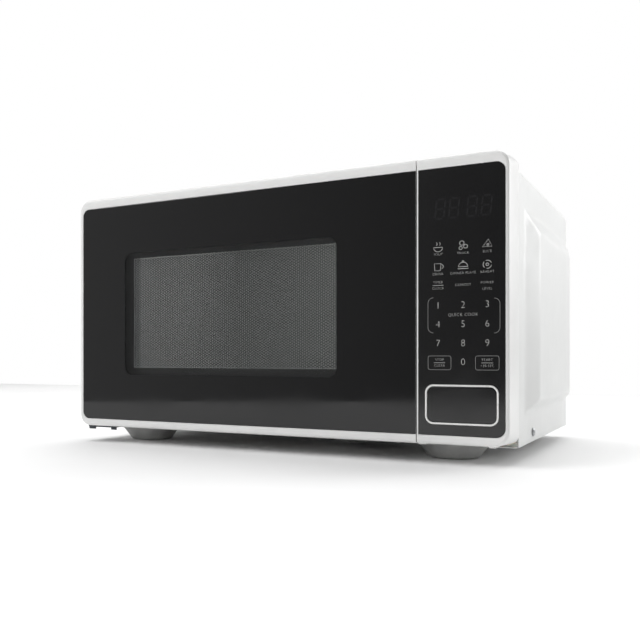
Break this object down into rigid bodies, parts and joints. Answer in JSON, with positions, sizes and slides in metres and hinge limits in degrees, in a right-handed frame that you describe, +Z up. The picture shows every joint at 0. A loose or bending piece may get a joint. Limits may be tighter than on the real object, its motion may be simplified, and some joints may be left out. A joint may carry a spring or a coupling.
{
  "type": "microwave oven",
  "caption": "Countertop microwave oven with a white cabinet, a black glass door hinged at the left, a touch panel with a release button, and a glass turntable.",
  "frame": {"origin": "middle of the bounding box at the table, under the four feet", "axes": "+X to the right seen from the front, +Y to the back, +Z up; the door faces -Y"},
  "size_m": [0.4564, 0.329, 0.2582],
  "materials": {
    "white_paint": "satin powder coat on sheet steel",
    "zinc_steel": "galvanised sheet",
    "cavity_paint": "light grey cavity enamel paint",
    "white_plastic": "moulded, semi-gloss",
    "black_glass": "black printed glass with a clear window",
    "black_overlay": "gloss black printed panel",
    "black_plastic": "moulded, satin",
    "grey_plastic": "moulded engineering plastic",
    "silver_trim": "bright trim",
    "clear_glass": "clear tempered glass",
    "copper_wire": "enamelled wire",
    "mica": "pressed mica sheet",
    "circuit_board": "laminate with solder mask",
    "spring_steel": "drawn wire",
    "dark_steel": "blackened steel",
    "screen_steel": "perforated painted sheet"
  },
  "bodies": {
    "oven": {"cabinet_wrap": "white_paint", "base_plate": "zinc_steel", "back_panel": "zinc_steel", "cord_inlet": "black_plastic", "rear_screw_1": "zinc_steel", "rear_screw_2": "zinc_steel", "rear_screw_3": "zinc_steel", "rear_screw_4": "zinc_steel", "side_screw_1": "zinc_steel", "side_screw_2": "zinc_steel", "cavity_shell": "cavity_paint", "waveguide": "zinc_steel", "waveguide_cover": "mica", "oven_lamp": "clear_glass", "lamp_socket": "grey_plastic", "thermal_cutout": "dark_steel", "turntable_motor": "zinc_steel", "magnetron": "zinc_steel", "magnetron_filter_box": "zinc_steel", "transformer_core": "dark_steel", "primary_winding": "copper_wire", "secondary_winding": "copper_wire", "hv_capacitor": "zinc_steel", "capacitor_clamp": "zinc_steel", "hv_diode": "black_plastic", "noise_filter_board": "circuit_board", "fan_shroud": "grey_plastic", "fan_motor": "dark_steel", "control_housing": "white_plastic", "control_overlay": "black_overlay", "button_ring": "silver_trim", "control_board": "circuit_board", "display_module": "black_plastic", "interlock_bracket": "grey_plastic", "lever_spring": "spring_steel", "primary_switch": "black_plastic", "secondary_switch": "black_plastic", "monitor_switch": "black_plastic", "lower_hinge": "dark_steel", "upper_hinge": "dark_steel"},
    "door": {"door_frame": "white_plastic", "door_glass": "black_glass", "choke_pan": "zinc_steel", "door_screen": "screen_steel", "inner_window": "clear_glass", "choke_cover": "black_plastic", "latch_spring": "spring_steel"},
    "latch": {"latch_hooks": "grey_plastic"},
    "release_button": {"release_button": "black_plastic"},
    "latch_lever": {"latch_lever": "grey_plastic"},
    "turntable": {"glass_tray": "clear_glass", "turntable_coupler": "grey_plastic", "motor_shaft": "grey_plastic"},
    "roller_ring": {"roller_ring": "grey_plastic"},
    "roller_1": {"roller_1": "grey_plastic"},
    "roller_2": {"roller_2": "grey_plastic"},
    "roller_3": {"roller_3": "grey_plastic"},
    "fan": {"fan_blade": "grey_plastic"}
  },
  "joints": [
    {"name": "door_swing", "type": "hinge", "parent": "oven", "child": "door", "pos_m": [-0.20945, -0.1323, 0.137], "axis": [0, 0, -1], "range_deg": [0, 90]},
    {"name": "hook_lift", "type": "slide", "parent": "door", "child": "latch", "axis": [0, 0, 1], "range_m": [0, 0.0024], "deforming": ["latch_spring"]},
    {"name": "release_button_press", "type": "slide", "parent": "oven", "child": "release_button", "axis": [0, 1, 0], "range_m": [0, 0.004], "stiffness_N_per_m": 400, "springref_m": -0.004},
    {"name": "latch_lever_turn", "type": "hinge", "parent": "oven", "child": "latch_lever", "pos_m": [0.15125, -0.1105, 0.052], "axis": [1, 0, 0], "range_deg": [0, 17.7]},
    {"name": "turntable_spin", "type": "hinge", "parent": "oven", "child": "turntable", "pos_m": [-0.04275, 0.0155, 0.044], "axis": [0, 0, 1], "continuous": true},
    {"name": "roller_ring_spin", "type": "hinge", "parent": "oven", "child": "roller_ring", "pos_m": [-0.04275, 0.0155, 0.0443], "axis": [0, 0, 1], "continuous": true},
    {"name": "roller_1_spin", "type": "hinge", "parent": "roller_ring", "child": "roller_1", "pos_m": [0.04825, 0.0155, 0.0443], "axis": [1, 0, 0], "continuous": true},
    {"name": "roller_2_spin", "type": "hinge", "parent": "roller_ring", "child": "roller_2", "pos_m": [-0.08825, 0.09431, 0.0443], "axis": [-0.5, 0.866, 0], "continuous": true},
    {"name": "roller_3_spin", "type": "hinge", "parent": "roller_ring", "child": "roller_3", "pos_m": [-0.08825, -0.06331, 0.0443], "axis": [-0.5, -0.866, 0], "continuous": true},
    {"name": "fan_spin", "type": "hinge", "parent": "oven", "child": "fan", "pos_m": [0.16825, 0.1385, 0.19], "axis": [0, 1, 0], "continuous": true}
  ],
  "couplings": [
    {"joint": "latch_lever_turn", "follows": "release_button_press", "rad_per_m": 76.923},
    {"joint": "hook_lift", "follows": "release_button_press", "ratio": 0.6},
    {"joint": "roller_ring_spin", "follows": "turntable_spin", "ratio": 0.5},
    {"joint": "roller_1_spin", "follows": "turntable_spin", "ratio": -5.6875},
    {"joint": "roller_2_spin", "follows": "turntable_spin", "ratio": -5.6875},
    {"joint": "roller_3_spin", "follows": "turntable_spin", "ratio": -5.6875}
  ]
}
